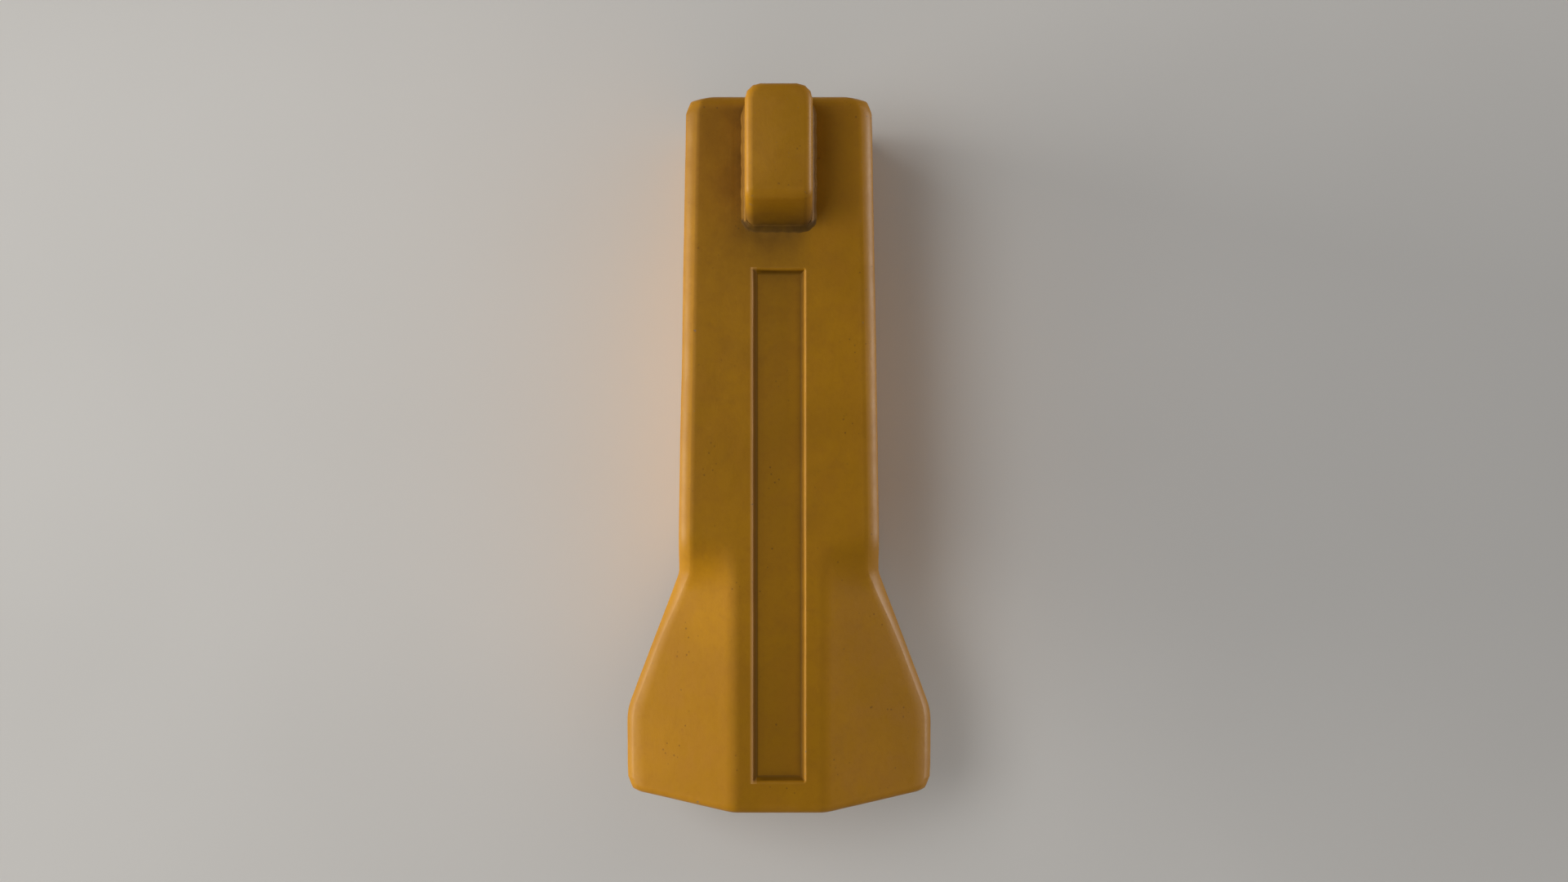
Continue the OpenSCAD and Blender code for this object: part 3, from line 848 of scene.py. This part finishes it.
# ------------------------------------------------------------------ materials
class Mat:
    def __init__(self, name):
        self.m = bpy.data.materials.new(name)
        self.m.use_nodes = True
        self.t = self.m.node_tree
        self.n = self.t.nodes
        self.p = self.n["Principled BSDF"]
        self.co = self.add("ShaderNodeTexCoord").outputs["Object"]

    def add(self, kind, **props):
        node = self.n.new(kind)
        for k, v in props.items():
            setattr(node, k, v)
        return node

    def link(self, a, b):
        self.t.links.new(a, b)

    def noise(self, scale, detail=4, rough=0.55, seed=0.0, dist=0.0):
        mp = self.add("ShaderNodeMapping")
        mp.inputs["Location"].default_value = (seed, seed * 1.7, seed * 0.3)
        self.link(self.co, mp.inputs["Vector"])
        nz = self.add("ShaderNodeTexNoise")
        nz.inputs["Scale"].default_value = scale
        nz.inputs["Detail"].default_value = detail
        nz.inputs["Roughness"].default_value = rough
        nz.inputs["Distortion"].default_value = dist
        self.link(mp.outputs[0], nz.inputs["Vector"])
        return nz.outputs["Fac"]

    def voronoi(self, scale, seed=0.0, feature="F1"):
        mp = self.add("ShaderNodeMapping")
        mp.inputs["Location"].default_value = (seed, seed * 0.7, seed * 1.3)
        self.link(self.co, mp.inputs["Vector"])
        v = self.add("ShaderNodeTexVoronoi", feature=feature)
        v.inputs["Scale"].default_value = scale
        self.link(mp.outputs[0], v.inputs["Vector"])
        return v.outputs["Distance"]

    def remap(self, x, a, b, c=0.0, d=1.0, smooth=True):
        r = self.add("ShaderNodeMapRange", clamp=True)
        if smooth:
            r.interpolation_type = "SMOOTHSTEP"
        r.inputs["From Min"].default_value = a
        r.inputs["From Max"].default_value = b
        r.inputs["To Min"].default_value = c
        r.inputs["To Max"].default_value = d
        self.link(x, r.inputs["Value"])
        return r.outputs["Result"]

    def math(self, op, a, b=None):
        m = self.add("ShaderNodeMath", operation=op)
        for i, v in enumerate((a, b)):
            if v is None:
                continue
            if isinstance(v, (int, float)):
                m.inputs[i].default_value = v
            else:
                self.link(v, m.inputs[i])
        return m.outputs[0]

    def mix(self, fac, a, b, blend="MIX"):
        m = self.add("ShaderNodeMix", data_type="RGBA", blend_type=blend)
        if isinstance(fac, (int, float)):
            m.inputs[0].default_value = fac
        else:
            self.link(fac, m.inputs[0])
        for i, v in ((6, a), (7, b)):
            if isinstance(v, tuple):
                m.inputs[i].default_value = (*v, 1)
            else:
                self.link(v, m.inputs[i])
        return m.outputs[2]

    def attr(self, name):
        a = self.add("ShaderNodeAttribute", attribute_name=name)
        return a.outputs["Fac"]

    def bump(self, height, strength, distance, under=None):
        b = self.add("ShaderNodeBump")
        b.inputs["Strength"].default_value = strength
        b.inputs["Distance"].default_value = distance
        self.link(height, b.inputs["Height"])
        if under is not None:
            self.link(under, b.inputs["Normal"])
        return b.outputs["Normal"]

    def base(self, c):
        self.link(c, self.p.inputs["Base Color"])

    def rough(self, r):
        self.link(r, self.p.inputs["Roughness"])

    def normal(self, n):
        self.link(n, self.p.inputs["Normal"])


def lin(r, g, b):
    f = lambda c: (c / 255 / 12.92) if c / 255 <= 0.04045 else ((c / 255 + 0.055) / 1.055) ** 2.4
    return (f(r), f(g), f(b))


def mat_paint():
    m = Mat("ochre_paint")
    big = m.noise(14, 3, 0.5, 1.0)
    mid = m.noise(75, 5, 0.6, 2.0, 0.3)
    fine = m.noise(420, 4, 0.65, 3.0)
    a = m.mix(m.remap(big, 0.35, 0.65), lin(166, 116, 10), lin(178, 125, 12))
    a = m.mix(m.remap(mid, 0.35, 0.7, 0, 0.4), a, lin(164, 110, 18))
    a = m.mix(m.remap(fine, 0.45, 0.7, 0, 0.2), a, lin(152, 101, 14))
    # painted shade in corners, creases and hollows, broken up by noise; the same mask also roughens the paint
    g = m.attr("painted_shade")
    g2 = m.math("MULTIPLY", g, m.remap(mid, 0.25, 0.75, 0.82, 1.08))
    cav = m.math("MULTIPLY", m.attr("cavity"), 0.7)
    gg = m.math("MAXIMUM", g2, cav)
    a = m.mix(m.math("MINIMUM", m.math("MULTIPLY", gg, 0.76), 0.93), a, lin(70, 49, 16))
    # thin smears of dust lying over the whole casting
    smear = m.remap(m.noise(38, 6, 0.7, 7.0, 0.6), 0.52, 0.72, 0, 0.15)
    a = m.mix(smear, a, lin(124, 84, 30))
    # dark specks
    v = m.voronoi(360, 4.0)
    sp = m.math("MULTIPLY", m.remap(v, 0.10, 0.19, 1, 0), m.remap(m.noise(60, 3, 0.5, 9.0), 0.56, 0.64))
    a = m.mix(m.math("MULTIPLY", sp, 0.5), a, lin(86, 56, 18))
    # paint rubbed pale on the edges, partly a painted highlight along the bevels
    e = m.math("MULTIPLY", m.attr("edge"), m.remap(m.noise(120, 4, 0.6, 5.0), 0.3, 0.65, 0.35, 1.0))
    a = m.mix(m.math("MULTIPLY", e, 0.12), a, lin(206, 150, 70))
    # painted highlight along the left rim of the crest recess
    a = m.mix(m.attr("recess_rim_highlight"), a, lin(226, 172, 104))
    chip = m.math("MULTIPLY", m.remap(m.attr("edge"), 0.55, 0.95), m.remap(m.noise(330, 5, 0.7, 6.0), 0.66, 0.70))
    a = m.mix(m.math("MULTIPLY", chip, 0.8), a, lin(112, 104, 96))
    m.base(a)
    r = m.remap(mid, 0.3, 0.7, 0.40, 0.47)
    r = m.math("ADD", r, m.math("MULTIPLY", gg, 0.22))
    m.rough(r)
    n1 = m.bump(m.noise(900, 3, 0.5, 11.0), 0.05, 0.0006)
    n2 = m.bump(m.noise(160, 4, 0.5, 12.0), 0.10, 0.0012, n1)
    n3 = m.bump(m.math("MULTIPLY", chip, -1.0), 0.3, 0.0003, n2)
    m.normal(n3)
    m.p.inputs["Specular IOR Level"].default_value = 0.15
    return m.m


def mat_cast():
    m = Mat("cast_steel")
    mid = m.noise(60, 5, 0.6, 1.0, 0.4)
    fine = m.noise(500, 5, 0.65, 2.0)
    a = m.mix(m.remap(mid, 0.3, 0.7), lin(74, 70, 66), lin(100, 94, 88))
    rust = m.math("MULTIPLY", m.remap(m.noise(40, 6, 0.7, 5.0, 0.8), 0.5, 0.68), m.remap(fine, 0.35, 0.6))
    a = m.mix(m.math("MULTIPLY", rust, 0.6), a, lin(96, 58, 36))
    a = m.mix(m.math("MULTIPLY", m.attr("edge"), 0.5), a, lin(150, 146, 142))
    mach = m.attr("machined")
    a = m.mix(mach, a, m.mix(m.remap(fine, 0.3, 0.7), lin(150, 148, 146), lin(176, 174, 171)))
    m.base(a)
    r = m.remap(fine, 0.3, 0.7, 0.5, 0.7)
    r = m.math("SUBTRACT", r, m.math("MULTIPLY", mach, 0.26))
    m.rough(r)
    m.link(m.remap(mach, 0, 1, 0.75, 1.0, False), m.p.inputs["Metallic"])
    # milling lines on the weld face and its bevel
    w = m.add("ShaderNodeTexWave", wave_type="BANDS", bands_direction="X")
    w.inputs["Scale"].default_value = 420
    w.inputs["Distortion"].default_value = 0.6
    w.inputs["Detail"].default_value = 2
    m.link(m.co, w.inputs["Vector"])
    lines = m.math("MULTIPLY", w.outputs["Fac"], mach)
    rough_cast = m.math("MULTIPLY", m.noise(420, 4, 0.55, 8.0), m.math("SUBTRACT", 1.0, mach))
    n1 = m.bump(rough_cast, 0.35, 0.0008)
    n2 = m.bump(lines, 0.12, 0.0002, n1)
    m.normal(n2)
    return m.m


def mat_metal(name, dark, light, rough0, rough1, wear, bumps=0.06, metallic=1.0):
    m = Mat(name)
    mid = m.noise(130, 5, 0.6, 1.0, 0.2)
    fine = m.noise(900, 4, 0.6, 2.0)
    a = m.mix(m.remap(mid, 0.3, 0.7), dark, light)
    a = m.mix(m.remap(fine, 0.5, 0.75, 0, 0.3), a, tuple(c * 0.6 for c in dark))
    a = m.mix(m.math("MULTIPLY", m.attr("edge"), 0.7), a, wear)
    # painted shade in concave corners
    a = m.mix(m.math("MULTIPLY", m.attr("cavity"), 0.6), a, tuple(c * 0.4 for c in dark))
    m.base(a)
    m.rough(m.remap(mid, 0.25, 0.75, rough0, rough1))
    m.p.inputs["Metallic"].default_value = metallic
    m.normal(m.bump(fine, bumps, 0.0004))
    return m.m


def mat_soft(name, dark, light, rough0=0.55, rough1=0.75, bloom=None):
    m = Mat(name)
    mid = m.noise(110, 4, 0.6, 1.0)
    fine = m.noise(1100, 4, 0.6, 2.0)
    a = m.mix(m.remap(mid, 0.3, 0.7), dark, light)
    if bloom is not None:
        a = m.mix(m.remap(m.noise(45, 6, 0.7, 3.0, 0.5), 0.5, 0.7, 0, 0.35), a, bloom)
    a = m.mix(m.math("MULTIPLY", m.attr("edge"), 0.3), a, tuple(min(1, c * 1.8 + 0.01) for c in light))
    m.base(a)
    m.rough(m.remap(fine, 0.3, 0.7, rough0, rough1))
    m.normal(m.bump(fine, 0.12, 0.0004))
    return m.m


PAINT = mat_paint()
CAST = mat_cast()
PIN = mat_metal("hardened_steel", lin(128, 126, 124), lin(158, 156, 154), 0.22, 0.4, lin(200, 198, 195))
LOCK = mat_metal("lock_steel", lin(48, 48, 50), lin(66, 66, 68), 0.42, 0.6, lin(120, 118, 116))
RUBBER = mat_soft("black_rubber", lin(26, 26, 27), lin(38, 38, 38), bloom=lin(70, 62, 50))
PLUGM = mat_soft("plug_rubber", lin(34, 34, 35), lin(48, 48, 48), bloom=lin(84, 70, 50))
POLY = mat_soft("sleeve_polymer", lin(58, 62, 70), lin(76, 80, 88), 0.4, 0.55)
PU = mat_soft("bumper_elastomer", lin(186, 84, 22), lin(208, 102, 34), 0.35, 0.5)

PIECES = [
    (point, "tooth", "tooth_point", "ochre_paint", PAINT),
    (lug, "tooth", "lifting_lug", "ochre_paint", PAINT),
    (weld, "tooth", "lug_weld", "ochre_paint", PAINT),
    (nose, "nose", "adapter_nose", "cast_steel", CAST),
    (pin, "nose", "cross_pin", "hardened_steel", PIN),
    (rollpin, "nose", "pin_roll_pin", "hardened_steel", PIN),
    (bumper, "nose", "nose_bumper", "bumper_elastomer", PU),
    (seal, "nose", "mouth_seal", "black_rubber", RUBBER),
]
for side in ("left", "right"):
    PIECES += [
        (sleeves[side], "tooth", "lock_sleeve_" + side, "sleeve_polymer", POLY),
        (locks[side], f"lock_{side}_body", "lock_" + side, "lock_steel", LOCK),
        (orings[side], f"lock_{side}_body", "lock_o_ring_" + side, "black_rubber", RUBBER),
        (plugs[side], f"plug_{side}_body", "drive_plug_" + side, "plug_rubber", PLUGM),
    ]
for ob, body, node, slot, mat in PIECES:
    ob.data.materials.clear()
    ob.data.materials.append(mat)
    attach(ob, body)
    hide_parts(node)

# ------------------------------------------------------------------ camera, floor and light
K = 0.3404  # mm of the crest plane for one of the 1920 image columns
FPX = 1920.0
cam_d = bpy.data.cameras.new("camera")
cam_d.sensor_width = 36.0
cam_d.sensor_fit = "HORIZONTAL"
cam_d.lens = 36.0
cam_d.clip_start = 0.01
cam_d.clip_end = 50
cam = bpy.data.objects.new("camera", cam_d)
cam.location = (2.14 * MM, -145.34 * MM, (TOP + FPX * K) * MM)
cam.rotation_euler = (0, 0, 0)
bpy.context.scene.collection.objects.link(cam)
bpy.context.scene.camera = cam

# pale floor
fm = Mat("floor_paper")
fa = fm.mix(fm.remap(fm.noise(3, 3, 0.5, 1.0), 0.3, 0.7), lin(226, 225, 223), lin(232, 231, 229))
fm.base(fa)
fm.p.inputs["Roughness"].default_value = 0.9
fm.p.inputs["Specular IOR Level"].default_value = 0.15
FLOOR = -(TOP + 0.3) * MM   # just under the cast skin of the flat underside
floor = new_object("floor", [(-6, -6, FLOOR), (6, -6, FLOOR), (6, 6, FLOOR), (-6, 6, FLOOR)], [(0, 1, 2, 3)])
floor.data.materials.append(fm.m)


def area(name, loc, target, size, power, colour=(1, 1, 1), size_y=None, grid=180):
    li = bpy.data.lights.new(name, "AREA")
    li.shape = "RECTANGLE" if size_y else "SQUARE"
    li.size = size
    if size_y:
        li.size_y = size_y
    li.energy = power
    li.color = colour
    li.spread = math.radians(grid)   # a cloth grid keeps the light off the floor in front of the lamp
    o = bpy.data.objects.new(name, li)
    o.location = loc
    d = Vector(target) - Vector(loc)
    o.rotation_euler = d.to_track_quat("-Z", "Y").to_euler()
    bpy.context.scene.collection.objects.link(o)
    return o


MID = (0, -0.15, 0.03)
area("key_low_left", (-2.20, -0.20, 0.22), MID, 1.5, 9.8, (1.0, 0.95, 0.88), 0.50, 70)
area("rim_right", (2.0, 0.05, 0.05), MID, 1.9, 4.0, (1.0, 0.91, 0.86), 0.14, 80)
edge_lamp = area("edge_right", (2.0, 0.05, 0.06), MID, 1.9, 9, (1.0, 0.93, 0.90), 0.12, 80)
edge_lamp.visible_diffuse = False   # only drawn along the glossy right-hand edges
area("soft_back", (-0.80, 0.12, 1.40), MID, 0.9, 7.5, (1.0, 0.98, 0.95), 0.8)

w = bpy.data.worlds.new("world")
w.use_nodes = True
w.node_tree.nodes["Background"].inputs["Color"].default_value = (1.0, 0.99, 0.97, 1)
w.node_tree.nodes["Background"].inputs["Strength"].default_value = 0.22
bpy.context.scene.world = w
bpy.context.scene.view_settings.view_transform = "Standard"
bpy.context.scene.view_settings.look = "None"
bpy.context.scene.view_settings.exposure = 0.0
